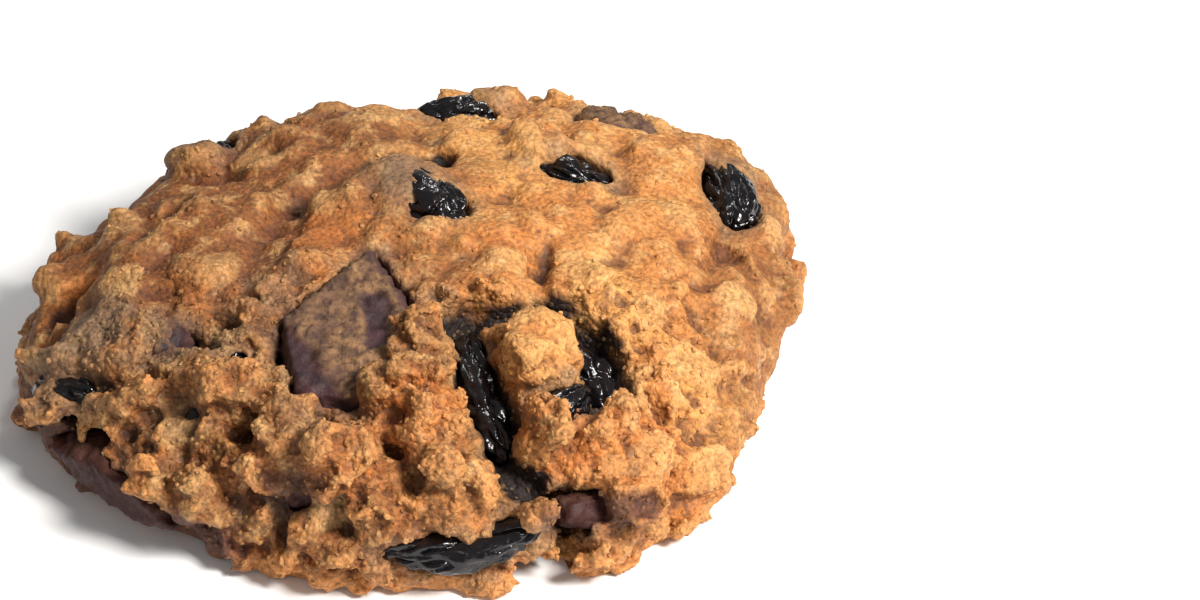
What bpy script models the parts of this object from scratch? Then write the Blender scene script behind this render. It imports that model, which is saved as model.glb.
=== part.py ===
"""Oatmeal raisin cookie: a thick domed round of craggy dough with oat clumps and flakes baked in,
and raisins and chunks of dark chocolate that show at its surface, each in a pocket of its own.

Metres, +Z up. The origin is the middle of the flat base that the cookie was baked on.
+X is to the right and +Y is away, as one looks at the front of the cookie.
"""

import itertools
import math
import random

import bmesh
import bpy
from mathutils import Euler, Matrix, Vector, noise
from mathutils.bvhtree import BVHTree

MM = 0.001

# The dough: its outline from above, and the section of its dome
MEAN_RADIUS = 39.8 * MM
OUTLINE_WAVES = ((2, 1.7 * MM, 44), (3, 1.9 * MM, 55), (4, 0.9 * MM, 27))  # lobes, height, degrees
DOME_HEIGHT = 19 * MM
WIDEST_HEIGHT = 4.5 * MM
BASE_SHARE = 0.93
TOP_FULLNESS = 2.3
WIDEST_POLAR = math.radians(102)
BASE_POLAR = math.radians(118)
RELIEF_FADE = 2.5 * MM
BASE_TOLERANCE = 0.1 * MM

# The crust's lumps: cells that swell between creases, in two sizes, on a slow swell
LUMP_SIZES = ((7.0 * MM, 1.5 * MM), (3.6 * MM, 0.6 * MM))
LUMP_REACH = 0.75
WARP_SIZE = 9 * MM
WARP_DEPTH = 2.4 * MM
SWELL_SIZE = 22 * MM
SWELL_DEPTH = 1.1 * MM

# Crags that stand out (height over 0) and hollows (height under 0), in millimetres and degrees:
# x, y, z, half length, half width, yaw, dip, height
CRAGS = (
    (-3.4, 5.1, 19.0, 7.0, 5.5, -15, 0, 1.9),
    (-2.8, 10.6, 18.8, 5.5, 1.3, -4, 0, -3.6),
    (-9.0, 7.0, 18.8, 3.0, 1.2, 40, 0, -2.4),
    (6.2, -25.0, 16.9, 9.2, 2.6, -73, 0, -3.8),
    (17.2, -19.8, 17.0, 7.4, 2.6, -50, 0, -3.6),
    (-4.6, -18.4, 18.4, 3.2, 1.6, -75, 0, -2.2),
    (-10.7, -36.2, 10.8, 3.0, 1.5, 10, 0, -2.6),
    (-22.8, -26.5, 13.5, 2.6, 2.1, 20, 0, -3.2),
    (-19.0, -20.4, 16.5, 2.2, 1.8, 0, 0, -2.4),
    (-24.6, -18.6, 15.8, 4.2, 1.9, 10, 0, -2.0),
    (-36.0, -8.2, 13.0, 4.4, 1.7, 18, 0, -3.0),
    (-31.5, -15.5, 13.6, 7.0, 4.6, 25, 0, 2.1),
    (-35.2, -21.4, 9.0, 5.2, 1.7, -32, 20, -2.6),
    (-22.2, 4.0, 17.8, 6.2, 5.2, 30, 0, 1.2),
    (-28.4, -3.6, 16.4, 5.8, 4.6, 20, 0, 1.4),
    (-15.0, 0.5, 18.8, 8.0, 1.9, 48, 0, -1.6),
    (-24.5, -11.2, 17.0, 10.0, 1.9, 12, 0, -1.7),
    (5.8, -3.4, 19.0, 6.0, 5.0, 10, 0, 1.3),
    (18.4, -10.4, 18.0, 6.2, 5.0, 0, 0, 1.1),
    (12.2, -10.2, 18.7, 5.0, 0.9, 92, 0, -2.6),
    (17.6, -36.6, 9.4, 6.0, 2.2, 8, 0, -4.0),
    (24.5, 15.0, 16.8, 6.5, 4.5, 60, 0, 1.6),
    (8.0, 28.5, 14.4, 15.0, 7.0, 5, 0, -2.2),
    (-15.5, 20.5, 16.6, 6.2, 4.4, 30, 0, 1.0),
    (13.5, 12.5, 18.6, 7.5, 1.6, -35, 0, -2.2),
    (31.5, 2.0, 14.6, 5.6, 1.7, 75, 0, -2.0),
)

# Oat clumps that stand on the crust, in millimetres and degrees:
# x, y, z of the crust, depth of its middle, length, width, height, yaw
CLUMPS = (
    (11.6, -21.4, 17.8, 0.7, 9.4, 7.8, 7.0, -72),
    (12.4, -32.2, 14.8, 0.2, 6.6, 4.0, 6.4, -84),
    (1.4, -23.4, 17.8, 0.6, 7.6, 5.2, 5.6, -80),
    (1.2, -31.4, 15.4, 0.4, 11.0, 6.0, 6.6, -78),
    (-6.4, -34.8, 13.2, 0.4, 9.0, 7.6, 6.4, 20),
    (-1.6, -38.4, 9.0, 0.8, 8.6, 5.4, 5.6, 10),
    (4.6, -36.8, 11.0, 0.6, 8.0, 6.0, 5.2, -30),
    (-14.2, -33.4, 12.2, 0.6, 8.0, 6.2, 5.2, 10),
    (-18.4, -26.6, 15.0, 0.8, 7.0, 6.0, 5.0, -30),
    (-21.0, -33.4, 8.4, 1.0, 8.4, 6.0, 5.2, 30),
    (-8.4, -39.6, 5.2, 1.2, 9.0, 6.0, 5.4, 4),
    (18.6, -30.6, 14.2, 0.8, 7.4, 5.4, 5.2, 30),
    (19.6, -38.0, 5.2, 1.2, 9.0, 7.0, 5.4, 12),
    (24.0, -30.6, 10.8, 2.0, 7.8, 5.6, 4.8, 40),
    (30.8, -28.2, 4.4, 2.0, 7.4, 5.6, 5.6, 45),
    (8.0, -11.4, 19.2, 1.2, 9.0, 7.6, 4.6, -20),
    (22.4, -16.0, 17.0, 1.4, 9.0, 7.6, 4.6, 30),
    (-36.6, -19.0, 5.0, 0.8, 8.6, 6.4, 5.4, -60),
    (-38.4, -11.6, 7.0, 1.4, 8.0, 6.0, 5.0, -80),
)
SCATTERED_CLUMPS = 20
SCATTERED_CLUMP_LENGTH = (5.5, 9.0)
SCATTERED_CLUMP_DEPTH = 1.3
CLUMP_ROUGHNESS = 0.34
CLUMP_ROUGH_SIZE = 2.3 * MM
LOWEST_CLUMP = 0.25 * MM

# Where the rim has crumbled away, in the same terms
BREAKS = (
    (14.4, -39.8, 1.4, 1.8, 8.4, 14.0, 19.0, 8),
    (7.0, -41.4, 0.8, 0.4, 9.0, 4.6, 4.2, 0),
    (27.6, -36.4, 1.2, 0.0, 5.0, 7.0, 8.0, 0),
)

# Raisins, in millimetres and degrees: x, y, z of the crust over it, depth of its middle,
# length, width, height, yaw, dip of its far end, bend, detail
RAISINS = {
    "raisin_crescent": (0.4, 2.6, 19.4, 2.0, 9.0, 7.0, 5.4, -52, 10, 0.08, 3),
    "raisin_ring_left": (6.5, -25.0, 17.0, 0.3, 18.0, 5.0, 5.2, -74, 0, 0.07, 3),
    "raisin_ring_right": (17.3, -19.6, 17.1, 0.3, 13.0, 5.4, 5.0, -50, 0, -0.12, 3),
    "raisin_under_clump": (14.4, -28.2, 15.5, 0.3, 7.6, 4.4, 4.4, 40, 0, 0.10, 3),
    "raisin_front_rim": (5.6, -41.0, 6.9, 0.2, 17.5, 4.4, 4.8, 14, 0, 0.13, 3),
    "raisin_left_pit": (-22.8, -26.5, 13.5, 0.2, 6.4, 5.0, 4.2, 25, 0, 0.08, 2),
    "raisin_left_small": (-19.6, -20.0, 16.6, 0.5, 5.0, 3.6, 3.8, -20, 0, 0.05, 2),
    "raisin_left_edge": (-36.2, -19.0, 10.2, 0.3, 9.5, 4.6, 4.4, -34, 0, 0.08, 3),
    "raisin_back_left": (-25.8, 21.6, 14.0, 1.2, 10.5, 6.6, 5.0, 128, 0, 0.10, 3),
    "raisin_back": (2.5, 32.0, 13.0, 1.5, 11.5, 6.6, 5.2, 8, 0, 0.12, 3),
    "raisin_back_right": (32.0, 13.5, 13.0, 0.8, 12.0, 6.6, 5.2, 105, 0, 0.12, 3),
    "raisin_top_right": (14.4, 12.6, 18.4, 0.4, 11.0, 6.0, 5.0, -35, 0, 0.14, 3),
}
WRINKLE_DEPTH = 0.16
WRINKLE_SIZE = 2.4 * MM

# Chocolate chunks, in millimetres and degrees: x, y, z of the crust over it, depth of its middle,
# length, width, height, yaw, dip of its far end, lean to its side, the directions of its corners
CHUNKS = {
    "chocolate_top": (-6.3, -18.9, 18.4, 1.7, 27.0, 18.4, 4.8, 84, 0, 3, (0, 90, 146, 216, 262)),
    "chocolate_low": (-10.6, -36.0, 11.0, 0.7, 7.0, 4.6, 3.8, 12, 0, 8, (0, 70, 150, 215, 290)),
    "chocolate_left": (-26.4, -18.0, 15.4, 0.6, 8.4, 5.0, 3.4, 12, 0, 0, (10, 75, 140, 215, 300)),
    "chocolate_rim": (-31.2, -29.0, 4.7, 1.1, 21.0, 4.8, 4.4, -46, 0, 0, (0, 55, 120, 180, 240, 300)),
    "chocolate_front": (19.0, -37.4, 8.8, 0.7, 9.6, 4.4, 4.0, 14, 0, 0, (0, 70, 150, 215, 290)),
    "chocolate_back": (20.0, 27.0, 13.8, 1.4, 12.0, 9.0, 4.4, -30, 0, 0, (5, 80, 150, 220, 285)),
}
CHUNK_TOP_SHARE = 0.9
CHUNK_UNEVENNESS = 0.13
CHUNK_BEVEL = 0.45 * MM

# The gap that each topping keeps to the dough, and how far a coarse ball cuts inside its sphere
POCKET_GAP = 0.35 * MM
COARSE_BALL = 1.05

# Oat flakes baked into the crust
FLAKE_COUNT = 44
FLAKE_LENGTH = (5.0, 7.6)
FLAKE_WIDTH_SHARE = 0.76
FLAKE_HEIGHT = 1.7
FLAKE_DEPTH = 0.3
FLAKE_SIDES = 8
FLAKE_TOP_SHARE = 0.7
FLAKE_UNEVENNESS = 0.22
FLAKE_TILT = 20

# How the scattered pieces keep apart: from each other, and from the toppings' ends
SCATTER_SPACING = 4.6 * MM
TOPPING_CLEARANCE = 2.4 * MM
CRUST_TRIANGLES = 4400
DOUGH_TRIANGLES = 6600
PROBE = 12 * MM
SEED = 14

# Colours
CRUST = (0.55, 0.30, 0.12)
RAISIN = (0.02, 0.014, 0.018)
CHOCOLATE = (0.075, 0.032, 0.03)


def clear_scene():
    for obj in list(bpy.data.objects):
        bpy.data.objects.remove(obj)


def collection(name):
    made = bpy.data.collections.new(name)
    bpy.context.scene.collection.children.link(made)
    return made


def material(name, colour, roughness):
    made = bpy.data.materials.new(name)
    made.use_nodes = True
    shader = made.node_tree.nodes["Principled BSDF"]
    shader.inputs["Base Color"].default_value = (*colour, 1)
    shader.inputs["Roughness"].default_value = roughness
    shader.inputs["Metallic"].default_value = 0
    made.diffuse_color = (*colour, 1)
    return made


def add_object(name, bm, home, finish=None):
    """The bmesh as a smooth-shaded object of its own."""
    mesh = bpy.data.meshes.new(name)
    bm.to_mesh(mesh)
    bm.free()
    mesh.shade_smooth()
    obj = bpy.data.objects.new(name, mesh)
    home.objects.link(obj)
    if finish:
        mesh.materials.append(finish)
    return obj


def apply_modifiers(obj):
    bpy.context.view_layer.update()
    graph = bpy.context.evaluated_depsgraph_get()
    mesh = bpy.data.meshes.new_from_object(obj.evaluated_get(graph))
    obj.modifiers.clear()
    obj.data = mesh


def thin_faces(obj, triangles):
    """Brings a mesh down to about this many triangles."""
    obj.data.calc_loop_triangles()
    decimate = obj.modifiers.new("Fewer faces", "DECIMATE")
    decimate.ratio = triangles / len(obj.data.loop_triangles)
    decimate.use_collapse_triangulate = True
    apply_modifiers(obj)
    for vert in obj.data.vertices:
        if vert.co.z < BASE_TOLERANCE:
            vert.co.z = 0


def outline_radius(angle):
    """The dough's radius from above, in the direction of this angle."""
    waves = (height * math.cos(lobes * (angle - math.radians(crest)))
             for lobes, height, crest in OUTLINE_WAVES)
    return MEAN_RADIUS + sum(waves)


def dome_point(direction):
    """Where this direction from a ball's centre lands on the smooth dome, its lower edge or its base."""
    polar = math.acos(max(-1.0, min(1.0, direction.z)))
    if polar <= WIDEST_POLAR:
        turn = polar / WIDEST_POLAR * math.pi / 2
        share = math.sin(turn) ** (2 / TOP_FULLNESS)
        rise = max(math.cos(turn), 0) ** (2 / TOP_FULLNESS)
        height = WIDEST_HEIGHT + (DOME_HEIGHT - WIDEST_HEIGHT) * rise
    elif polar <= BASE_POLAR:
        turn = (polar - WIDEST_POLAR) / (BASE_POLAR - WIDEST_POLAR) * math.pi / 2
        share = BASE_SHARE + (1 - BASE_SHARE) * math.cos(turn)
        height = WIDEST_HEIGHT * (1 - math.sin(turn))
    else:
        share = BASE_SHARE * (math.pi - polar) / (math.pi - BASE_POLAR)
        height = 0.0
    angle = math.atan2(direction.y, direction.x)
    radius = share * outline_radius(angle)
    return Vector((radius * math.cos(angle), radius * math.sin(angle), height))


def dome_bmesh(subdivisions):
    """A ball drawn out to the smooth dome."""
    bm = bmesh.new()
    bmesh.ops.create_icosphere(bm, subdivisions=subdivisions, radius=1)
    for vert in bm.verts:
        vert.co = dome_point(vert.co.normalized())
    bm.normal_update()
    return bm


def crag_height(point, crag):
    """How far one crag lifts the crust at this point, or a hollow lowers it."""
    x, y, z, half_length, half_width, yaw, dip, height = crag
    offset = point / MM - Vector((x, y, z))
    offset.rotate(Euler((0, math.radians(dip), math.radians(yaw))).to_matrix().inverted())
    along = offset.x / half_length
    across = math.hypot(offset.y, offset.z) / half_width
    return height * MM * math.exp(-(along * along + across * across) ** 1.5)


def relief(point):
    """The crust's crags, hollows and lumps, as a height above the smooth dome."""
    height = SWELL_DEPTH * noise.noise(point / SWELL_SIZE)
    moved = point + WARP_DEPTH * noise.noise_vector(point / WARP_SIZE)
    for size, depth in LUMP_SIZES:
        nearest = noise.voronoi(moved / size)[0][0]
        height += depth * (1 - min(nearest / LUMP_REACH, 1) ** 2) - depth / 2
    return height + sum(crag_height(point, crag) for crag in CRAGS)


def make_crust(home, finish):
    """The dough as one closed surface: the dome with its relief."""
    bm = dome_bmesh(6)
    moved = {}
    for vert in bm.verts:
        fade = min(vert.co.z / RELIEF_FADE, 1)
        moved[vert] = vert.co + vert.normal * relief(vert.co) * fade
    for vert, place in moved.items():
        vert.co = Vector((place.x, place.y, max(place.z, 0)))
    core = add_object("cookie", bm, home, finish)
    thin_faces(core, CRUST_TRIANGLES)
    return core


class Seats:
    """Finds places on the crust: the rough surface under a point, and the smooth dome's direction there."""

    def __init__(self, core):
        smooth = dome_bmesh(5)
        self.dome = BVHTree.FromBMesh(smooth)
        smooth.free()
        self.crust = BVHTree.FromObject(core, bpy.context.evaluated_depsgraph_get())

    def find(self, point, depth):
        """The spot this deep under the crust near the point, and a turn whose Z stands on the crust."""
        normal = self.dome.find_nearest(point)[1]
        surface = self.crust.ray_cast(point + normal * PROBE, -normal)[0]
        place = surface - normal * depth
        return place, Vector((0, 0, 1)).rotation_difference(normal).to_matrix()


def seated(seats, row):
    """The place and turn of a piece whose row starts with x, y, z and depth in millimetres."""
    return seats.find(Vector(row[:3]) * MM, row[3] * MM)


def clump_bmesh(seats, row):
    """A lump of oats and dough: a ball with a rough skin, as long, wide and high as its row says."""
    place, stand = seated(seats, row)
    half = Vector(row[4:7]) * MM / 2
    turn = stand @ Matrix.Rotation(math.radians(row[7]), 3, "Z")
    bm = bmesh.new()
    bmesh.ops.create_icosphere(bm, subdivisions=2, radius=1)
    for vert in bm.verts:
        shape = Vector(vert.co[axis] * half[axis] for axis in range(3))
        rough = noise.noise((place + shape) / CLUMP_ROUGH_SIZE) * CLUMP_ROUGHNESS
        vert.co = place + turn @ (shape * (1 + rough))
    return bm


def lift_off_base(bm):
    for vert in bm.verts:
        vert.co.z = max(vert.co.z, LOWEST_CLUMP)


def flake_bmesh(seats, row):
    """One rolled oat: a flat oval with a blunt edge, leaning a little, sunk to half its thickness."""
    place, stand = seated(seats, row)
    bm = bmesh.new()
    bmesh.ops.create_cone(bm, cap_ends=True, segments=FLAKE_SIDES, radius1=0.5, radius2=0.5 * FLAKE_TOP_SHARE,
                          depth=1)
    bmesh.ops.scale(bm, vec=Vector(row[4:7]) * MM, verts=bm.verts)
    lean = Euler([math.radians(angle) for angle in (row[8], row[9], row[7])]).to_matrix()
    for vert in bm.verts:
        uneven = 1 + FLAKE_UNEVENNESS * noise.noise((place + vert.co) / CLUMP_ROUGH_SIZE)
        vert.co = place + stand @ lean @ (vert.co * uneven)
    return bm


def scatter_rows(draw, count, taken, make_sizes):
    """Seeded rows for pieces spread over the crust, clear of the toppings and of each other."""
    rows = []
    while len(rows) < count:
        direction = Vector((draw.gauss(0, 1), draw.gauss(0, 1), draw.gauss(0, 1))).normalized()
        sizes = make_sizes(draw)
        point = dome_point(direction)
        if point.z < WIDEST_HEIGHT * 0.8:
            continue
        if any((point - spot).length < clear + sizes[1] * MM / 2 for spot, clear in taken):
            continue
        taken.append((point, SCATTER_SPACING))
        rows.append((*(point / MM), *sizes))
    return rows


def clump_sizes(draw):
    length = draw.uniform(*SCATTERED_CLUMP_LENGTH)
    width, height = length * draw.uniform(0.65, 0.9), length * draw.uniform(0.5, 0.65)
    return SCATTERED_CLUMP_DEPTH, length, width, height, draw.uniform(0, 180)


def flake_sizes(draw):
    length = draw.uniform(*FLAKE_LENGTH)
    leans = (draw.uniform(-FLAKE_TILT, FLAKE_TILT), draw.uniform(-FLAKE_TILT, FLAKE_TILT))
    return FLAKE_DEPTH, length, length * FLAKE_WIDTH_SHARE, FLAKE_HEIGHT, draw.uniform(0, 180), *leans


def fuse_oats(core, seats):
    """Joins the oat clumps and flakes to the dough, so that they are one solid."""
    draw = random.Random(SEED)
    oats = collection("oats")
    taken = [(Vector(row[:3]) * MM, TOPPING_CLEARANCE + row[4] * MM / 2)
             for row in (*RAISINS.values(), *CHUNKS.values())]
    placed = [(Vector(row[:3]) * MM, SCATTER_SPACING) for row in CLUMPS]
    clumps = (*CLUMPS, *scatter_rows(draw, SCATTERED_CLUMPS, taken + placed, clump_sizes))
    flakes = scatter_rows(draw, FLAKE_COUNT, taken, flake_sizes)
    shapes = [clump_bmesh(seats, row) for row in clumps] + [flake_bmesh(seats, row) for row in flakes]
    for index, bm in enumerate(shapes):
        lift_off_base(bm)
        add_object(f"oats_{index:02d}", bm, oats)
    union = core.modifiers.new("Oats", "BOOLEAN")
    union.operation = "UNION"
    union.operand_type = "COLLECTION"
    union.collection = oats
    union.solver = "EXACT"
    apply_modifiers(core)
    for obj in list(oats.objects):
        bpy.data.objects.remove(obj)
    bpy.data.collections.remove(oats)
    thin_faces(core, DOUGH_TRIANGLES)


def raisin_bmesh(seats, row, detail, gap):
    """A folded oval, bent along its length: a raisin, or with a gap the smooth ball that cuts its pocket."""
    place, stand = seated(seats, row)
    half = Vector(side * MM / 2 + gap for side in row[4:7])
    yaw, dip, bend = row[7:10]
    turn = stand @ Euler((0, math.radians(dip), math.radians(yaw))).to_matrix()
    bm = bmesh.new()
    bmesh.ops.create_icosphere(bm, subdivisions=detail, radius=COARSE_BALL if gap else 1)
    for vert in bm.verts:
        fold = noise.noise(place / MM + vert.co * row[4] * MM / 2 / WRINKLE_SIZE)
        inward = 0 if gap else WRINKLE_DEPTH * (1 - abs(fold) * 2.4) * (1 - abs(vert.co.x) / 2)
        shape = Vector(vert.co[axis] * half[axis] * (1 - max(inward, 0)) for axis in range(3))
        shape.y += bend * row[4] * MM * (min(vert.co.x ** 2, 1) - 0.4)
        vert.co = place + turn @ shape
    return bm


def chunk_bmesh(seats, name, row, gap):
    """A broken piece of chocolate: the hull of two uneven rings of corners, with room round it if asked."""
    place, stand = seated(seats, row)
    draw = random.Random(name)
    side = Vector(row[4:7]) * MM / 2
    yaw, dip, lean, corners = row[7:]
    turn = stand @ Euler([math.radians(angle) for angle in (lean, dip, yaw)]).to_matrix()
    steps = (-gap, gap) if gap else (0,)
    bm = bmesh.new()
    for level, spread in ((1, CHUNK_TOP_SHARE), (-1, 1)):
        for angle in corners:
            reach = spread * draw.uniform(1 - CHUNK_UNEVENNESS, 1)
            way = Vector((math.cos(math.radians(angle)), math.sin(math.radians(angle)))) * reach
            offset = Vector((side.x * way.x, side.y * way.y, level * side.z))
            for step in itertools.product(steps, repeat=3):
                bm.verts.new(place + turn @ offset + Vector(step))
    hull = bmesh.ops.convex_hull(bm, input=bm.verts)
    spare = {item for item in hull["geom_interior"] if isinstance(item, bmesh.types.BMVert)}
    bmesh.ops.delete(bm, geom=list(spare))
    return bm


def make_toppings(seats, toppings, cutters):
    """Each raisin and chunk as a node, and the cutter that makes room for it in the dough."""
    skin = material("raisin_skin", RAISIN, 0.25)
    cocoa = material("dark_chocolate", CHOCOLATE, 0.55)
    for name, row in RAISINS.items():
        add_object(name, raisin_bmesh(seats, row, row[-1], 0), toppings, skin)
        add_object(f"pocket_{name}", raisin_bmesh(seats, row, 2, POCKET_GAP), cutters)
    for name, row in CHUNKS.items():
        chunk = add_object(name, chunk_bmesh(seats, name, row, 0), toppings, cocoa)
        bevel = chunk.modifiers.new("Worn edges", "BEVEL")
        bevel.width = CHUNK_BEVEL
        bevel.segments = 1
        add_object(f"pocket_{name}", chunk_bmesh(seats, name, row, POCKET_GAP), cutters)
    for index, row in enumerate(BREAKS):
        add_object(f"break_{index}", clump_bmesh(seats, row), cutters)
    for cutter in cutters.objects:
        cutter.display_type = "WIRE"
        cutter.hide_render = True


def cut_pockets(core, cutters):
    pockets = core.modifiers.new("Pockets", "BOOLEAN")
    pockets.operation = "DIFFERENCE"
    pockets.operand_type = "COLLECTION"
    pockets.collection = cutters
    pockets.solver = "EXACT"


def centre_base(parts, cutters):
    """Moves all pieces sideways, until the origin is under the middle of their box."""
    corners = [vert.co for obj in parts.objects for vert in obj.data.vertices]
    middle = [(min(co[axis] for co in corners) + max(co[axis] for co in corners)) / 2 for axis in range(2)]
    shift = Matrix.Translation((-middle[0], -middle[1], 0))
    for obj in (*parts.objects, *cutters.objects):
        obj.data.transform(shift)


def main():
    clear_scene()
    noise.seed_set(SEED)
    parts = collection("oatmeal_raisin_cookie")
    cutters = collection("cutters")
    core = make_crust(parts, material("baked_dough", CRUST, 0.7))
    seats = Seats(core)
    fuse_oats(core, seats)
    make_toppings(seats, parts, cutters)
    cut_pockets(core, cutters)
    centre_base(parts, cutters)


main()
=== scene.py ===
import math

import bmesh
import bpy
import numpy as np
from mathutils import Matrix, Vector, noise
from mathutils.bvhtree import BVHTree


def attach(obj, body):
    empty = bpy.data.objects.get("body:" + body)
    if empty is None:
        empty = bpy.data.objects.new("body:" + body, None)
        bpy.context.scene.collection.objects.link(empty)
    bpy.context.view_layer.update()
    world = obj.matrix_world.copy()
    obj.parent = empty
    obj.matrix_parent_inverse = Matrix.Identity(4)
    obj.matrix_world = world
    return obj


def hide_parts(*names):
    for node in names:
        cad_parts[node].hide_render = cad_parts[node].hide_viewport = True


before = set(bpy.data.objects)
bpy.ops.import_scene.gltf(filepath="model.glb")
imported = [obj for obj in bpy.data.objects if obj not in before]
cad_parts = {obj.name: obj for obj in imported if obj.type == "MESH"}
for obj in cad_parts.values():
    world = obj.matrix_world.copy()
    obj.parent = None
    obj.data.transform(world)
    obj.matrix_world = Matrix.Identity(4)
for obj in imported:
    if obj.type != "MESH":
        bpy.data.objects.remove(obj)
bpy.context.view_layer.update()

mm = 0.001
noise.seed_set(5)
raisinNodes = sorted(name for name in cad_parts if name.startswith("raisin"))
chocolateNodes = sorted(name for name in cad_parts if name.startswith("chocolate"))


# Node trees: a wire is one output socket, and maths on wires adds Math nodes

class Wire:
    def __init__(self, bench, socket):
        self.bench = bench
        self.socket = socket

    def maths(self, operation, *values):
        return self.bench.wire("ShaderNodeMath", {"operation": operation}, dict(enumerate(values)))

    def __add__(self, other):
        return self.maths("ADD", self, other)

    __radd__ = __add__

    def __sub__(self, other):
        return self.maths("SUBTRACT", self, other)

    def __rsub__(self, other):
        return self.maths("SUBTRACT", other, self)

    def __mul__(self, other):
        return self.maths("MULTIPLY", self, other)

    __rmul__ = __mul__

    def __pow__(self, other):
        return self.maths("POWER", self, other)

    def atMost(self, other):
        return self.maths("MINIMUM", self, other)

    def between(self, low, high):   # 0 under low, 1 over high, with a soft start and end
        return self.bench.wire("ShaderNodeMapRange", {"interpolation_type": "SMOOTHSTEP"},
                               {"Value": self, "From Min": low, "From Max": high})


class Bench:
    def __init__(self, tree):
        self.tree = tree

    def node(self, kind, settings=None, inputs=None):
        made = self.tree.nodes.new(kind)
        for name, value in (settings or {}).items():
            setattr(made, name, value)
        for name, value in (inputs or {}).items():
            if isinstance(value, Wire):
                self.tree.links.new(value.socket, made.inputs[name])
            else:
                made.inputs[name].default_value = value
        return made

    def wire(self, kind, settings=None, inputs=None, output=0):
        return Wire(self, self.node(kind, settings, inputs).outputs[output])

    def vector(self, operation, *values, output=0):
        return self.wire("ShaderNodeVectorMath", {"operation": operation}, dict(enumerate(values)), output)

    def stretch(self, vector, scale):
        return self.wire("ShaderNodeVectorMath", {"operation": "SCALE"}, {0: vector, "Scale": scale})

    def cloud(self, place, size, detail=2.0, rough=0.5, output=0):   # noise with lumps of this size
        inputs = {"Vector": place, "Scale": size ** -1, "Detail": detail, "Roughness": rough}
        return self.wire("ShaderNodeTexNoise", None, inputs, output)

    def cells(self, place, size, feature="F1", output=0):   # how far it is to the middle, or edge, of a cell
        inputs = {"Vector": place, "Scale": size ** -1}
        return self.wire("ShaderNodeTexVoronoi", {"feature": feature}, inputs, output)

    def blend(self, factor, first, second, mode="MIX"):   # of two colours
        settings = {"data_type": "RGBA", "blend_type": mode}
        return self.wire("ShaderNodeMix", settings, {0: factor, 6: first, 7: second}, 2)


def geometryTree(name, inputs):
    tree = bpy.data.node_groups.new(name, "GeometryNodeTree")
    tree.interface.new_socket("Geometry", in_out="INPUT", socket_type="NodeSocketGeometry")
    tree.interface.new_socket("Geometry", in_out="OUTPUT", socket_type="NodeSocketGeometry")
    for label, value in inputs.items():
        kind = "NodeSocketInt" if isinstance(value, int) else "NodeSocketFloat"
        tree.interface.new_socket(label, in_out="INPUT", socket_type=kind).default_value = value
    bench = Bench(tree)
    entry = bench.node("NodeGroupInput")
    asked = {socket.name: Wire(bench, socket) for socket in entry.outputs if socket.name}
    return bench, asked


def closeTree(bench, geometry):
    bench.node("NodeGroupOutput", None, {"Geometry": geometry})
    return bench.tree


def addNodes(piece, tree, values=None):   # a Geometry Nodes modifier, its inputs set by identifier
    made = piece.modifiers.new(tree.name, "NODES")
    made.node_group = tree
    for item in tree.interface.items_tree:
        if item.in_out == "INPUT" and item.name in (values or {}):
            made[item.identifier] = values[item.name]
    return made


# Meshes

def newPiece(name, mesh):
    piece = bpy.data.objects.new(name, mesh)
    bpy.context.scene.collection.objects.link(piece)
    return piece


def plainMesh(piece):   # the piece with its modifiers done, as a new mesh
    bpy.context.view_layer.update()
    graph = bpy.context.evaluated_depsgraph_get()
    return bpy.data.meshes.new_from_object(piece.evaluated_get(graph))


def settle(piece):
    mesh = plainMesh(piece)
    piece.modifiers.clear()
    piece.data = mesh
    return piece


def mergedNode(node, name):   # a CAD solid's triangles, joined at their corners
    bm = bmesh.new()
    bm.from_mesh(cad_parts[node].data)
    bmesh.ops.remove_doubles(bm, verts=bm.verts, dist=0.001 * mm)
    mesh = bpy.data.meshes.new(name)
    bm.to_mesh(mesh)
    bm.free()
    return newPiece(name, mesh)


def readPlaces(mesh):   # in millimetres
    places = np.zeros(len(mesh.vertices) * 3, np.float32)
    mesh.vertices.foreach_get("co", places)
    return places.reshape(-1, 3).astype(float) / mm


def writePlaces(mesh, places):
    mesh.vertices.foreach_set("co", (places * mm).astype(np.float32).ravel())
    mesh.update()


def readNormals(mesh):
    normals = np.zeros(len(mesh.vertices) * 3, np.float32)
    mesh.vertices.foreach_get("normal", normals)
    return normals.reshape(-1, 3).astype(float)


def writeAttribute(mesh, name, values):
    layer = mesh.attributes.get(name) or mesh.attributes.new(name, "FLOAT", "POINT")
    layer.data.foreach_set("value", np.asarray(values, np.float32))


def smoothed(mesh, values, rounds):   # each vertex's values averaged with its neighbours'
    ends = np.zeros(len(mesh.edges) * 2, np.int32)
    mesh.edges.foreach_get("vertices", ends)
    first, second = ends.reshape(-1, 2).T
    count = len(mesh.vertices)
    links = np.bincount(first, minlength=count) + np.bincount(second, minlength=count)
    for _ in range(rounds):
        total = values.copy()
        for axis in range(values.shape[1]):
            total[:, axis] += np.bincount(first, values[second, axis], count)
            total[:, axis] += np.bincount(second, values[first, axis], count)
        values = total / (links + 1)[:, None]
    return values


def skinOf(nodes):   # these solids' faces, in mm, to measure from
    corners, faces = [], []
    for node in nodes:
        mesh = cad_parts[node].data
        faces += [[corner + len(corners) for corner in polygon.vertices] for polygon in mesh.polygons]
        corners += [tuple(place) for place in readPlaces(mesh)]
    return BVHTree.FromPolygons(corners, faces)


def gapTo(nodes, places, reach=8.0):   # how far each place is from these solids' skins, in mm
    skin = skinOf(nodes)
    found = (skin.find_nearest(Vector(place), reach)[3] for place in places)
    return np.array([reach if gap is None else gap for gap in found])


def ramp(values, low, high):   # 0 under low, 1 over high, with a soft start and end
    share = np.clip((values - low) / (high - low), 0, 1)
    return share * share * (3 - 2 * share)


def noiseAt(places, size):   # smooth noise with lumps of this size in mm
    return np.array([noise.noise(Vector(place) / size) for place in places])


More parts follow.
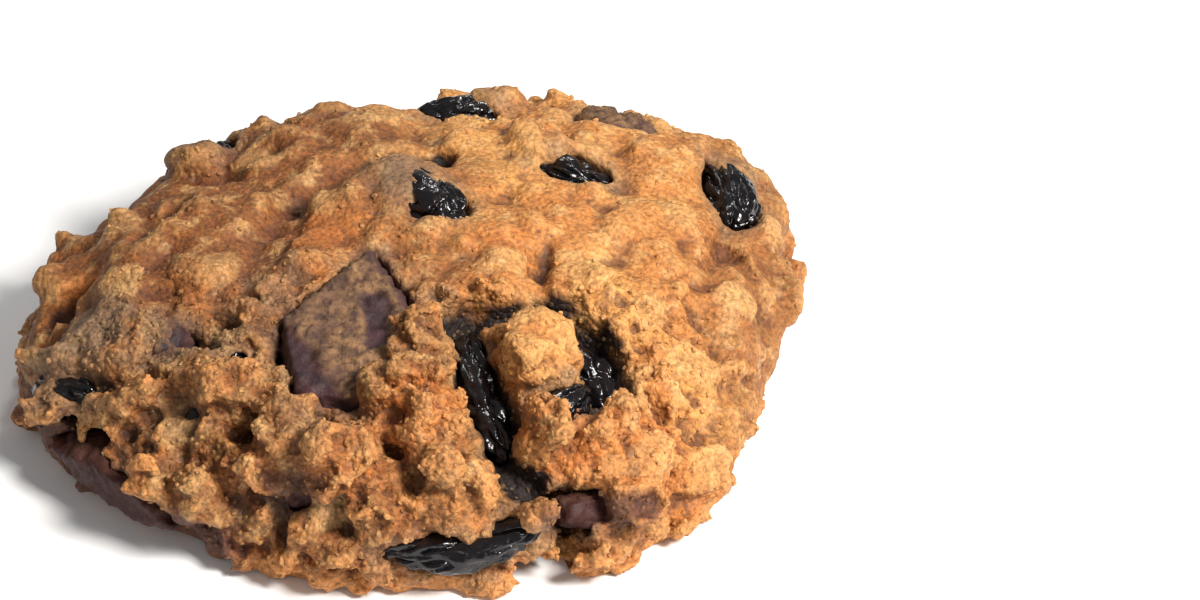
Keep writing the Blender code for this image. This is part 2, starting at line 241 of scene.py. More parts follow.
def brokenNoiseAt(places, size, fineness, layers):
    return np.array([noise.fractal(Vector(place) / size, fineness, 2, layers) for place in places])


# Materials

def linear(red, green, blue):   # a colour as a screen shows it, 0 to 255
    parts = [part / 255 for part in (red, green, blue)]
    return (*(((part + 0.055) / 1.055) ** 2.4 if part > 0.04 else part / 12.92 for part in parts), 1)


def newMaterial(name):
    made = bpy.data.materials.new(name)
    made.use_nodes = True
    shader = made.node_tree.nodes["Principled BSDF"]
    return made, Bench(made.node_tree), shader


def inMillimetres(bench):
    place = bench.wire("ShaderNodeTexCoord", None, None, "Object")
    return bench.stretch(place, 1 / mm)


def attribute(bench, name):
    return bench.wire("ShaderNodeAttribute", {"attribute_name": name}, None, "Fac")


def plug(bench, shader, **links):
    names = {"colour": "Base Color", "roughness": "Roughness", "normal": "Normal"}
    for name, wire in links.items():
        bench.tree.links.new(wire.socket, shader.inputs[names[name]])


def bump(bench, height, distance, strength=1.0):   # distance in millimetres
    inputs = {"Height": height, "Distance": distance * mm, "Strength": strength}
    return bench.wire("ShaderNodeBump", None, inputs)


doughPaint = {
    "golden": linear(236, 170, 95),
    "tan": linear(208, 136, 70),
    # painted shade on the left side, where light falls off away from the right, and a painted shadow on the
    # far right rim; the front edge darker brown too
    "shadedBrown": linear(140, 84, 40),
    "oat": linear(234, 184, 118),
    "toast": linear(212, 122, 50),
    # painted shade: the colour that darkens crevices and hollows
    "deep": linear(100, 52, 28),
    # painted shade down in the dark trenches
    "trenchShade": linear(34, 20, 16),
    # melted chocolate stain, and painted shade along the lower left rim and in the front hollows
    "cocoa": linear(80, 44, 38),
    "smoke": linear(132, 108, 84),
    "speck": linear(84, 42, 30),
    "roughness": 0.72,
    "gloss": 0.4,
    "grainSize": 0.55,      # mm
    "grainDepth": 0.26,
    "glow": 0.12,           # how much light goes through the crumb, and how far in mm
    "glowDepth": 0.7,
}


def doughMaterial(name, paler=0.0):
    paint = doughPaint
    made, bench, shader = newMaterial(name)
    place = inMillimetres(bench)
    broad = bench.cloud(place, 11, 2)
    patch = bench.cloud(place, 2.6, 4, 0.6)
    fine = bench.cloud(place, 0.5, 4, 0.65)
    colour = bench.blend(broad.between(0.38, 0.62), paint["tan"], paint["golden"])
    # painted shade on the left side and a painted shadow on the far right rim, with a darker brown front edge
    colour = bench.blend(attribute(bench, "shadedBrown"), colour, paint["shadedBrown"])
    colour = bench.blend(patch.between(0.5, 0.66) * 0.55, colour, paint["oat"])
    colour = bench.blend(bench.cloud(place, 1.7, 4, 0.65).between(0.5, 0.7) * 0.28, colour, paint["toast"])
    colour = bench.blend((attribute(bench, "toast") * (0.45 + patch)).atMost(1), colour, paint["toast"])
    # painted shade: crevices and hollows darkened
    colour = bench.blend(attribute(bench, "hollow") * 0.8, colour, paint["deep"])
    colour = bench.blend(attribute(bench, "peak") * 0.3, colour, paint["oat"])
    colour = bench.blend(attribute(bench, "smoke"), colour, paint["smoke"])
    # melted chocolate stain, and painted shade along the lower left rim and in the front hollows
    colour = bench.blend(attribute(bench, "cocoa"), colour, paint["cocoa"])
    # painted shade down in the dark trenches
    colour = bench.blend(attribute(bench, "trenchShade"), colour, paint["trenchShade"])
    specks = bench.cells(place, 1.5)
    pick = bench.cloud(place, 3.1, 1)
    specks = (1 - specks.between(0.1, 0.2)) * pick.between(0.62, 0.66)
    colour = bench.blend(specks * 0.7, colour, paint["speck"])
    colour = bench.blend(attribute(bench, "flake") * 0.3, colour, paint["oat"])
    if paler:
        colour = bench.blend(paler, colour, paint["oat"])
    light = bench.blend(fine.between(0.3, 0.7), linear(176, 176, 176), linear(255, 255, 255))
    colour = bench.blend(1.0, colour, light, "MULTIPLY")
    grit = bench.cells(place, paint["grainSize"])
    height = fine * 0.5 + bench.cloud(place, 0.18, 3, 0.6) * 0.25 - grit * grit * 0.9
    height = height * (0.5 + 0.5 * attribute(bench, "craggy"))
    plug(bench, shader, colour=colour, normal=bump(bench, height, paint["grainDepth"]),
         roughness=paint["roughness"] - 0.25 * patch.between(0.4, 0.8))
    shader.inputs["Specular IOR Level"].default_value = paint["gloss"]
    shader.inputs["Subsurface Weight"].default_value = paint["glow"]
    shader.inputs["Subsurface Radius"].default_value = (1.0, 0.55, 0.3)
    shader.inputs["Subsurface Scale"].default_value = paint["glowDepth"] * mm
    return made


raisinPaint = {
    "skin": linear(6, 5, 8),
    "brownSkin": linear(17, 12, 14),
    "ridge": linear(22, 17, 19),
    "creaseSize": 0.9,      # mm
    "creaseDepth": 0.2,
    "roughness": (0.12, 0.16),      # the least, and what dull patches add
    "gloss": 0.5,
}


def raisinMaterial():
    paint = raisinPaint
    made, bench, shader = newMaterial("raisinSkin")
    place = inMillimetres(bench)
    tint = bench.cloud(place, 1.6, 3)
    colour = bench.blend(tint.between(0.4, 0.75), paint["skin"], paint["brownSkin"])
    colour = bench.blend(attribute(bench, "fold") * 0.4, colour, paint["ridge"])
    creases = bench.cloud(place, paint["creaseSize"], 3, 0.5)
    dull = bench.cloud(place, paint["creaseSize"], 3).between(0.35, 0.7)
    plug(bench, shader, colour=colour, normal=bump(bench, creases, paint["creaseDepth"]),
         roughness=paint["roughness"][0] + paint["roughness"][1] * dull)
    shader.inputs["Specular IOR Level"].default_value = paint["gloss"]
    return made


chocolatePaint = {
    "dark": linear(46, 30, 33),
    "bloom": linear(74, 48, 49),
    "dust": linear(92, 68, 52),
    "paleDust": linear(146, 110, 76),
    "lowShadeRed": linear(60, 28, 22),   # darker and redder towards the bottom: a reddish tone low on the rim, under the crust, partly painted shade in the hollows there
    "lowShadeRedHeight": (7.5, 12.5),    # mm, where it fades out
    "grainSize": 0.35,
    "grainDepth": 0.16,
    "roughness": (0.5, 0.35),       # bare, and what dust adds
    "gloss": 0.3,
}


def chocolateMaterial():
    paint = chocolatePaint
    made, bench, shader = newMaterial("darkChocolate")
    place = inMillimetres(bench)
    tint = bench.cloud(place, 2.4, 4)
    colour = bench.blend(tint.between(0.3, 0.7), paint["dark"], paint["bloom"])
    dust = (bench.cloud(place, 0.8, 5, 0.7).between(0.3, 0.55) * 0.8 + 0.2) * attribute(bench, "dust")
    crumb = bench.cloud(place, 1.5, 4, 0.6).between(0.35, 0.65)
    colour = bench.blend(dust, colour, bench.blend(crumb, paint["dust"], paint["paleDust"]))
    height = bench.cloud(place, paint["grainSize"], 4, 0.6) + dust * 0.6
    # partly painted shade: the chocolate darker and redder towards the bottom
    low = 1 - bench.wire("ShaderNodeSeparateXYZ", None, {0: place}, 2).between(*paint["lowShadeRedHeight"])
    colour = bench.blend(low * 0.92, colour, paint["lowShadeRed"])
    plug(bench, shader, colour=colour, normal=bump(bench, height, paint["grainDepth"]),
         roughness=paint["roughness"][0] + paint["roughness"][1] * dust)
    shader.inputs["Specular IOR Level"].default_value = paint["gloss"]
    return made


# The dough: the CAD solid with clumps and crumbs set on it, cragged, then grained

dough = {
    "clumpShape": ((0.9, 0.65, 0.5), (1.25, 0.95, 0.8)),    # the least and the most of a clump's proportions
    "clumpGap": 3.4,            # mm between scattered clumps
    "clumpSize": (1.1, 2.3),    # half their length
    "clumpRagged": 1.0,
    "crumbGap": 1.5,            # the same for the small crumbs that stand on the clumps
    "crumbSize": (0.45, 0.95),
    "crumbRagged": 0.6,
    "edgeGap": 1.7,             # and for those that lap over the toppings' edges
    "edgeSize": (0.5, 1.1),
    "edgeRagged": 0.8,
    "firstVoxel": 0.46,
    "crevice": (5.2, 1.7),      # mm between crevices, and their depth
    "lump": (3.6, 1.5),         # size and height
    "tear": (2.6, 0.9),
    "lastVoxel": 0.37,
    "grain": (0.85, 0.3),
    "lapRag": (2.4, 1.1, 1.1),      # sizes of the coarse and the fine raggedness of a lap, and the push
    "lapSteepness": 0.45,
    "flakeThickness": 1.1,
    "tallHeight": 20.2,             # clumps over this height are pressed together
    "headroom": 1.7,                # into this much
    "mostTriangles": 196000,
    "seed": 7,
}
domeSize = {"radius": 41, "waist": 4.5, "height": 14.5}    # mm, of the round shape under the lumps

# Dough that laps over the toppings, and the clumps that stand out, in mm and degrees:
# the middle, then length, width, height, yaw, raggedness
laps = (
    (-1.1, 5.5, 18.3, 11.2, 9.2, 6.4, -48, 0.15),
    (13.2, -22.6, 17.5, 9.2, 8.2, 6.4, -72, 0.6),
    (13.6, -32.4, 15.2, 6.4, 5.4, 6.2, -84, 0.8),
    (1.8, -22.0, 18.1, 8.8, 6.2, 5.0, -80, 1.0),
    (2.4, -31.2, 15.8, 11.0, 6.4, 7.0, -78, 1.2),
    (-5.2, -34.6, 13.2, 8.6, 7.2, 6.8, 20, 1.2),
    (5.8, -36.2, 12.0, 8.0, 5.6, 5.4, -30, 1.1),
    (-1.4, -37.6, 10.4, 8.0, 5.2, 5.2, 10, 1.1),
    (9.4, -38.6, 1.6, 4.8, 2.2, 2.4, 20, 0.3),
    (1.2, -38.2, 8.2, 5.6, 3.2, 3.2, 6, 0.7),
    (6.6, -38.0, 8.4, 5.0, 3.2, 3.2, 12, 0.7),
    (-3.6, -39.6, 5.8, 4.6, 3.0, 4.4, 10, 0.7),
    (-13.0, -33.2, 12.4, 8.0, 6.2, 5.4, 10, 1.1),
    (-17.2, -26.4, 15.2, 7.4, 6.0, 5.2, -30, 0.9),
    (19.8, -30.4, 14.4, 7.4, 5.4, 5.4, 30, 1.0),
    (-1.2, -28.8, 16.4, 7.0, 4.6, 4.0, -60, 1.0),
    (-10.6, -29.4, 15.2, 6.4, 4.6, 3.8, 30, 0.9),
    (12.4, 15.4, 18.2, 8.0, 6.6, 4.0, -35, 0.5),
    (7.6, 33.2, 12.6, 7.0, 6.0, 4.0, 10, 0.5),
    (33.4, 18.0, 12.4, 6.4, 6.0, 4.0, 100, 0.5),
    (-24.6, 17.4, 15.2, 8.6, 6.4, 3.4, 128, 0.4),
    (-36.2, -16.2, 11.4, 10.0, 5.0, 4.4, -30, 0.5),
    (-21.2, -24.2, 14.6, 5.6, 3.4, 3.4, 20, 0.7),
    (-17.0, -18.2, 16.6, 4.6, 3.2, 3.0, -20, 0.7),
    (-26.8, -17.2, 15.3, 8.4, 7.2, 3.4, 12, 0.4),
    (-24.0, -19.6, 14.6, 5.0, 3.6, 2.8, 12, 0.5),
    (-35.8, -21.0, 9.8, 6.0, 3.0, 2.6, -30, 0.4),
    (23.2, -36.0, 9.6, 6.0, 4.4, 4.2, 14, 0.9),
    (-24.6, -31.4, 8.8, 5.6, 3.6, 3.2, -46, 0.6),
    (13.4, -38.2, 9.6, 4.4, 3.4, 3.6, 14, 0.9),
    (12.2, -34.6, 4.8, 6.4, 5.0, 6.0, 0, 0.4),
)

# Furrows, cracks and pits, in mm: both ends of each, half its width, its depth, and how dark the painted
# shade in it is
dents = (
    (4.8, -16.8, 17.2, 7.4, -24.4, 16.2, 1.9, 2.4, 1.0),
    (7.4, -24.4, 16.2, 12.2, -35.4, 12.6, 2.2, 3.0, 1.0),
    (6.0, -15.6, 17.8, 14.4, -14.6, 18.2, 1.7, 3.6, 1.0),
    (14.4, -14.6, 18.2, 18.6, -17.2, 17.0, 2.3, 3.8, 1.0),
    (18.6, -17.2, 17.0, 20.6, -24.4, 15.2, 2.4, 3.8, 1.0),
    (20.6, -24.4, 15.2, 17.2, -30.6, 14.0, 1.3, 2.8, 0.9),
    (14.6, -28.4, 15.6, 16.6, -32.0, 13.4, 0.9, 2.2, 0.9),
    (-7.0, 9.4, 19.0, -12.2, 5.3, 17.8, 2.6, 1.3, 0.1),
    (-12.2, 5.3, 17.8, -14.5, -4.2, 18.2, 2.4, 1.4, 0.1),
    (-14.5, -4.2, 18.2, -19.0, -16.4, 16.8, 2.4, 1.4, 0.15),
    (-19.0, -16.4, 16.8, -24.0, -19.0, 15.0, 2.0, 1.2, 0.2),
    (-9.0, 7.0, 18.6, -3.2, 11.6, 18.8, 1.1, 1.5, 0.4),
    (-4.4, 11.0, 18.8, 2.0, 12.6, 18.5, 1.7, 3.4, 1.0),
    (13.4, -11.4, 17.6, 13.9, -3.8, 18.2, 0.7, 1.9, 0.5),
    (-22.4, -24.8, 12.9, -20.8, -25.4, 12.9, 1.8, 1.9, 0.9),
    (-18.4, -19.4, 16.1, -17.6, -19.4, 16.1, 1.2, 1.4, 0.9),
    (-37.0, -7.8, 11.6, -33.6, -6.0, 13.2, 2.0, 1.8, 0.6),
    (-39.6, -15.0, 9.2, -30.4, -21.4, 13.0, 1.2, 1.6, 1.0),
    (-11.8, -34.4, 11.0, -7.6, -35.2, 10.0, 2.0, 2.4, 0.6),
    (-1.4, -33.0, 13.2, 2.8, -34.3, 13.2, 0.9, 1.8, 0.6),
    (4.4, -30.2, 15.5, 7.0, -38.0, 10.8, 0.9, 1.8, 0.5),
    (16.6, -36.2, 9.0, 22.8, -34.4, 7.8, 1.9, 2.0, 0.7),
    (-16.6, -29.5, 13.3, -12.6, -33.2, 12.2, 1.1, 1.8, 0.5),
    (-12.6, -33.2, 12.2, -11.4, -37.6, 6.4, 1.1, 1.8, 0.5),
    (-19.6, -31.2, 11.5, -15.4, -35.6, 8.4, 0.9, 1.5, 0.5),
    (-3.0, -39.2, 9.4, -7.0, -38.6, 8.0, 1.0, 1.5, 0.5),
    (-24.8, -28.6, 10.4, -28.6, -25.0, 11.0, 1.0, 1.4, 0.5),
    (25.4, -22.0, 13.0, 29.4, -25.0, 9.4, 0.9, 0.9, 0.2),
    (22.0, -12.0, 16.4, 26.6, -14.2, 14.0, 1.0, 0.8, 0.2),
    (-27.4, -1.8, 15.4, -24.6, 4.8, 15.8, 1.8, 1.2, 0.1),
    (-22.4, 10.6, 15.4, -14.8, 15.2, 16.4, 1.8, 1.2, 0.1),
    (-16.0, 24.6, 14.6, -8.0, 27.4, 14.6, 1.6, 1.2, 0.2),
)

# Oat flakes that lie in the crust: the middle, then length, width, yaw and lean
flakes = (
    (24.4, -30.6, 10.9, 7.4, 5.4, 70, 6),
    (30.6, -26.4, 7.2, 6.4, 4.6, 20, 10),
    (2.2, -29.0, 16.6, 5.4, 3.4, 80, 50),
    (9.4, -8.2, 19.4, 6.0, 4.4, 30, 10),
    (17.6, -9.4, 18.2, 5.6, 4.6, -40, 14),
    (24.2, -12.4, 15.8, 6.0, 4.2, 80, 8),
    (28.4, -17.6, 12.6, 6.6, 4.8, 10, 10),
    (21.6, -24.4, 13.8, 5.6, 4.2, 50, 16),
    (-9.6, 2.4, 18.9, 5.6, 4.4, 120, 8),
    (-19.4, -8.0, 16.9, 6.2, 4.6, 60, 9),
    (-27.8, -9.6, 14.4, 5.8, 4.4, 0, 12),
    (-30.6, 4.2, 14.0, 6.0, 4.6, 100, 12),
    (-17.4, 13.6, 17.2, 6.4, 4.8, 150, 8),
    (-6.4, 20.6, 17.4, 6.0, 4.6, 40, 10),
    (4.6, 24.2, 16.6, 5.6, 4.4, -20, 12),
    (18.4, 16.4, 17.0, 6.2, 4.8, 75, 8),
    (27.4, 4.8, 16.2, 5.8, 4.4, -60, 10),
    (33.2, -6.4, 12.6, 6.2, 4.6, 15, 10),
    (-12.6, -24.6, 16.4, 5.0, 3.6, -30, 30),
    (-6.6, -37.2, 9.6, 5.4, 4.0, 20, 24),
    (-22.4, -27.8, 12.4, 5.2, 3.8, 80, 22),
    (20.4, -33.0, 11.2, 4.6, 3.4, 120, 26),
    (-31.6, -22.8, 10.4, 5.4, 4.2, 40, 14),
    (14.6, 27.4, 14.2, 5.8, 4.4, 95, 12),
    (-20.8, 27.4, 12.2, 5.6, 4.2, 10, 14),
    (36.0, 8.6, 9.6, 5.6, 4.4, 60, 12),
)


def outward(x, y, z):   # the way that the dome faces at a place on it
    wide, high = domeSize["radius"] ** 2, domeSize["height"] ** 2
    return Vector((x / wide, y / wide, max(z - domeSize["waist"], 0) / high)).normalized()


def standing(place, yaw):   # stood upright on the dome, and turned
    stand = Vector((0, 0, 1)).rotation_difference(outward(*place)).to_matrix()
    return stand @ Matrix.Rotation(math.radians(yaw), 3, "Z")


def addLap(bm, row):
    middle = Vector(row[:3])
    length, width, height, yaw, ragged = row[3:]
    turn = standing(middle, yaw) @ Matrix.Diagonal((length / 2, width / 2, height / 2))
    coarse, fine, depth = dough["lapRag"]
    steep = dough["lapSteepness"]
    for vert in bmesh.ops.create_icosphere(bm, subdivisions=5, radius=1)["verts"]:
        x, y, z = vert.co   # its sides are steeper than a ball's
        spot = middle + turn @ Vector((x, y, z * (1 + steep - steep * z * z)))
        push = noise.noise_vector(spot / coarse) + 0.5 * noise.noise_vector(spot / fine)
        vert.co = (spot + push * ragged * depth) * mm


def flakeTurn(row):   # how a flake lies, and its half sizes
    x, y, z, length, width, yaw, lean = row
    turn = standing((x, y, z), yaw) @ Matrix.Rotation(math.radians(lean), 3, "X")
    return turn, (length / 2, width / 2, dough["flakeThickness"] / 2)


def addFlake(bm, row, skin):
    turn, sizes = flakeTurn(row)
    out = outward(*row[:3])
    hit = skin.ray_cast(Vector(row[:3]) + out * 4, -out)[0]
    middle = (hit or Vector(row[:3])) + out * 0.25
    for vert in bmesh.ops.create_icosphere(bm, subdivisions=4, radius=1)["verts"]:
        spot = middle + turn @ (vert.co * Vector(sizes))
        wave = noise.noise(spot / 2.6)
        vert.co = (spot + out * 0.8 * wave + 0.5 * noise.noise_vector(spot / 1.4)) * mm
    return middle, np.array(turn), np.array(sizes)


def startDough():
    bm = bmesh.new()
    bm.from_mesh(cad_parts["cookie"].data)
    bmesh.ops.remove_doubles(bm, verts=bm.verts, dist=0.001 * mm)
    for row in laps:
        addLap(bm, row)
    skin = skinOf(["cookie"])
    seats = [addFlake(bm, row, skin) for row in flakes]
    mesh = bpy.data.meshes.new("crustAndCrumb")
    bm.to_mesh(mesh)
    bm.free()
    return newPiece("crustAndCrumb", mesh), seats


def flakeShare(places, seats):   # 1 on a flake, 0 beside it; seats are where the flakes came to lie
    share = np.zeros(len(places))
    for middle, turn, sizes in seats:
        near = np.flatnonzero(np.abs(places - np.array(middle)).max(axis=1) < 5)
        local = (places[near] - np.array(middle)) @ turn / (sizes * np.array([1, 1, 2.4]))
        share[near] = np.maximum(share[near], 1 - ramp(np.linalg.norm(local, axis=1), 0.85, 1.1))
    return share


def craggyShare(places):   # 1 where the crust is torn and crumbly, 0 where it baked smooth
    x, y, z = places.T
    front = ramp(-y, 4, 20)
    rim = ramp(np.hypot(x, y), 34, 40) * (0.3 + 0.3 * ramp(-y, 0, 20))
    wander = noiseAt(places, 9.0)
    calm = np.maximum(0.45 * ramp(x, 18, 30), 0.85 * ramp(-x, 26, 36) * ramp(y, -24, -12))
    calm = np.maximum(calm, 0.9 * (1 - ramp(np.hypot(x + 0.6, y - 5.2), 6, 10)))
    calm = np.maximum(calm, 0.85 * ramp(-x, 12, 20) * (1 - ramp(z, 6, 9)))
    calm = np.maximum(calm, 0.6 * (1 - ramp(np.hypot(x - 13.2, y + 22.4), 3, 5)))
    return np.clip(np.maximum(front, rim) * (1 - calm) + 0.3 * wander + 0.16, 0.08, 1)


def besideRow(row, places):   # mm along the surface from the line between a row's two places, and mm above it
    start, end = np.array(row[0:3]), np.array(row[3:6])
    along = np.clip((places - start) @ (end - start) / ((end - start) @ (end - start)), 0, 1)
    gap = places - start - along[:, None] * (end - start)
    out = np.array(outward(*(start + end) / 2))
    above = gap @ out
    return np.linalg.norm(gap - 0.85 * above[:, None] * out, axis=1), above


def awayFrom(row, places):
    return besideRow(row, places)[0]


def dentDepth(places):   # the depth, the darkness, and the painted shade down in the trench below the crust, at each place
    warped = places + 0.7 * np.array([noise.noise_vector(Vector(place) / 1.9) for place in places])
    depth, dark, trenchShade = (np.zeros(len(places)) for _ in range(3))
    for row in dents:
        away, above = besideRow(row, warped)
        near = 1 - ramp(away / row[6], 0.9, 1.4)
        depth = np.maximum(depth, row[7] * (1 - ramp(away / row[6], 0.65, 1.1)))
        dark = np.maximum(dark, row[8] * near)
        trenchShade = np.maximum(trenchShade, row[8] * near * ramp(-above, 0.5, 1.5))
    return depth * ramp(places[:, 2], 1.5, 4.0), dark, trenchShade


def pressDents(piece):
    places = readPlaces(piece.data)
    wide, high = domeSize["radius"] ** 2, domeSize["height"] ** 2
    facing = places * np.array([1 / wide, 1 / wide, 1 / high]) - np.array([0, 0, domeSize["waist"] / high])
    facing /= np.linalg.norm(facing, axis=1)[:, None]
    writePlaces(piece.data, places - facing * dentDepth(places)[0][:, None])


def named(bench, name):
    return bench.wire("GeometryNodeInputNamedAttribute", {"data_type": "FLOAT"}, {"Name": name})


def randomBetween(bench, seed, low, high):   # a random number or vector for each point
    kind, output = ("FLOAT_VECTOR", 0) if isinstance(low, tuple) else ("FLOAT", 1)
    inputs = {0: low, 1: high, "Seed": seed} if output == 0 else {2: low, 3: high, "Seed": seed}
    return bench.wire("FunctionNodeRandomValue", {"data_type": kind}, inputs, output)


ballInputs = {
    "Gap": 1.0, "Smallest": 0.2, "Largest": 0.4, "Sink": 0.0, "Ragged": 0.1, "Ragged Size": 0.5, "Seed": 1}


def scatterBalls(bench, asked, share, shapes, detail):   # uneven lumps that stand on the surface
    scatter = bench.node("GeometryNodeDistributePointsOnFaces", {"distribute_method": "POISSON"}, {
        "Mesh": asked["Geometry"], "Distance Min": asked["Gap"] * mm, "Density Max": 6e6,
        "Density Factor": share, "Seed": asked["Seed"]})
    size = randomBetween(bench, asked["Seed"] + 1, asked["Smallest"] * mm, asked["Largest"] * mm)
    shape = randomBetween(bench, asked["Seed"] + 2, *shapes)
    spin = randomBetween(bench, asked["Seed"] + 3, (-0.5, -0.5, 0.0), (0.5, 0.5, 6.28))
    turn = bench.wire("FunctionNodeRotateRotation", {"rotation_space": "LOCAL"}, {
        0: Wire(bench, scatter.outputs["Rotation"]),
        1: bench.wire("FunctionNodeEulerToRotation", None, {0: spin})})
    ball = bench.wire("GeometryNodeMeshIcoSphere", None, {"Radius": 1.0, "Subdivisions": detail})
    balls = bench.wire("GeometryNodeInstanceOnPoints", None, {
        "Points": Wire(bench, scatter.outputs["Points"]), "Instance": ball, "Rotation": turn,
        "Scale": bench.stretch(shape, size)})
    down = bench.wire("ShaderNodeCombineXYZ", None, {2: asked["Sink"] * -mm})
    balls = bench.wire("GeometryNodeTranslateInstances", None, {"Instances": balls, "Translation": down})
    balls = bench.wire("GeometryNodeRealizeInstances", None, {0: balls})
    place = bench.stretch(bench.wire("GeometryNodeInputPosition"), 1 / mm)
    push = bench.vector("SUBTRACT", bench.cloud(place, asked["Ragged Size"], 3, 0.6, 1), (0.5, 0.5, 0.5))
    return bench.wire("GeometryNodeSetPosition", None, {
        "Geometry": balls, "Offset": bench.stretch(push, asked["Ragged"] * mm)})


def clumpTree(name, share):
    bench, asked = geometryTree(name, ballInputs)
    clumps = scatterBalls(bench, asked, named(bench, share), dough["clumpShape"], 3)
    join = bench.node("GeometryNodeJoinGeometry")
    for part in (clumps, asked["Geometry"]):
        bench.tree.links.new(part.socket, join.inputs[0])
    return closeTree(bench, Wire(bench, join.outputs[0]))


def cragTree():
    bench, asked = geometryTree("crags", {"Crevice Gap": 5.0, "Crevice Depth": 1.0, "Lump Size": 3.0,
                                          "Lump Height": 1.0, "Tear Size": 2.0, "Tear": 1.0})
    craggy, room = named(bench, "craggy"), named(bench, "room")
    start = bench.wire("GeometryNodeInputPosition")
    place = bench.stretch(start, 1 / mm)
    half = (0.5, 0.5, 0.5)
    warp = bench.stretch(bench.vector("SUBTRACT", bench.cloud(place, 4.5, 3, 0.6, 1), half), 4.5)
    bent = bench.vector("ADD", place, warp)
    crevice = 1 - bench.cells(bent, asked["Crevice Gap"], "DISTANCE_TO_EDGE").between(0.0, 0.2)
    crevice = crevice * bench.cloud(place, 6.0, 2).between(0.4, 0.58)
    broad = bench.cells(bent, asked["Lump Size"] * 1.9)
    big = bench.cells(bent, asked["Lump Size"])
    small = bench.cells(bent, asked["Lump Size"] * 0.38)
    height = (0.3 - broad * broad) * (1 - craggy) * 0.8 + (0.3 - big * big) * (0.15 + 0.85 * craggy)
    height = (height + (0.3 - small * small) * 0.42 * (0.3 + 0.7 * craggy)) * asked["Lump Height"]
    height = height - crevice * asked["Crevice Depth"] * (0.15 + 0.85 * craggy)
    out = bench.stretch(bench.wire("GeometryNodeInputNormal"), height * mm)
    tear = bench.vector("SUBTRACT", bench.cloud(place, asked["Tear Size"], 4, 0.62, 1), half)
    out = bench.vector("ADD", out, bench.stretch(tear, asked["Tear"] * craggy * mm))
    moved = bench.vector("ADD", start, bench.stretch(out, room * 0.8 + 0.2))
    moved = bench.vector("MAXIMUM", moved, (-1.0, -1.0, 0.0))
    lift = bench.wire("ShaderNodeSeparateXYZ", None, {0: place}, 2).between(0.2, 2.6)
    moved = bench.wire("ShaderNodeMix", {"data_type": "VECTOR"}, {0: lift, 4: start, 5: moved}, 1)
    return closeTree(bench, bench.wire("GeometryNodeSetPosition", None, {
        "Geometry": asked["Geometry"], "Position": moved}))


def grainTree():
    bench, asked = geometryTree("grain", {"Size": 1.0, "Depth": 0.2})
    place = bench.stretch(bench.wire("GeometryNodeInputPosition"), 1 / mm)
    own = bench.cells(place, asked["Size"])
    height = (0.3 - own * own) * 1.4 + (bench.cloud(place, asked["Size"] * 0.7, 3) - 0.5) * 1.4
    lift = bench.wire("ShaderNodeSeparateXYZ", None, {0: place}, 2).between(0.1, 0.8)
    height = height * asked["Depth"] * (0.4 + 0.6 * named(bench, "craggy")) * lift
    out = bench.stretch(bench.wire("GeometryNodeInputNormal"), height * mm)
    return closeTree(bench, bench.wire("GeometryNodeSetPosition", None, {
        "Geometry": asked["Geometry"], "Offset": out}))


def voxelRemesh(piece, size):
    made = piece.modifiers.new("voxels", "REMESH")
    made.mode = "VOXEL"
    made.voxel_size = size * mm


def describeDough(piece, seats):   # the attributes that the trees read
    places = readPlaces(piece.data)
    gaps = gapTo(raisinNodes + chocolateNodes, places)
    craggy = craggyShare(places)
    flake = flakeShare(places, seats)
    clear = 1 - ramp(dentDepth(places)[1], 0.05, 0.6)   # 0 in the dark trenches, so that they stay open
    room = ramp(gaps, 0.1, 1.2) * (1 - 0.7 * flake) * (0.1 + 0.9 * clear)
    edge = (1 - ramp(gaps, 0.5, 1.3)) * (1 - ramp(places[:, 1], 18, 24)) * (0.3 + 0.7 * clear) * craggy
    clumpy = craggy * ramp(gaps, 1.0, 2.4) * (1 - flake) * clear
    values = {"craggy": craggy, "flake": flake, "room": room, "edge": edge, "clumpy": clumpy}
    for name, share in values.items():
        writeAttribute(piece.data, name, share)
    return places, gaps


def addClumps(piece, kind, share, step):   # kind is the start of their names in the dough's dictionary
    smallest, largest = dough[kind + "Size"]
    addNodes(piece, clumpTree(kind + "s", share), {
        "Gap": dough[kind + "Gap"], "Smallest": smallest, "Largest": largest,
        "Ragged": dough[kind + "Ragged"], "Ragged Size": 1.4 * largest, "Seed": dough["seed"] + step})


def makeDough():
    piece, seats = startDough()
    describeDough(piece, seats)
    addClumps(piece, "clump", "clumpy", 0)
    addClumps(piece, "edge", "edge", 10)
    voxelRemesh(piece, dough["firstVoxel"])
    settle(piece)
    pressDents(piece)
    describeDough(piece, seats)
    addClumps(piece, "crumb", "clumpy", 20)
    voxelRemesh(piece, dough["firstVoxel"])
    settle(piece)
    print("dough with its clumps:", len(piece.data.polygons), "faces")
    describeDough(piece, seats)
    addNodes(piece, cragTree(), {
        "Crevice Gap": dough["crevice"][0], "Crevice Depth": dough["crevice"][1],
        "Lump Size": dough["lump"][0], "Lump Height": dough["lump"][1],
        "Tear Size": dough["tear"][0], "Tear": dough["tear"][1]})
    voxelRemesh(piece, dough["lastVoxel"])
    settle(piece)
    print("dough cragged:", len(piece.data.polygons), "faces")
    softenCalm(piece)
    describeDough(piece, seats)
    addNodes(piece, grainTree(), {"Size": dough["grain"][0], "Depth": dough["grain"][1]})
    settle(piece)
    thinDough(piece)
    places = readPlaces(piece.data)
    places[:, 2] = lowered(np.maximum(places[:, 2], 0))
    writePlaces(piece.data, places)
    paintDough(piece, seats)
    piece.data.shade_smooth()
    return piece


def lowered(z):   # keeps the tallest clumps inside the cookie's height
    tall, room = dough["tallHeight"], dough["headroom"]
    over = np.maximum(z - tall, 0)
    return np.where(over > 0, tall + room * (1 - np.exp(-over / room)), z)


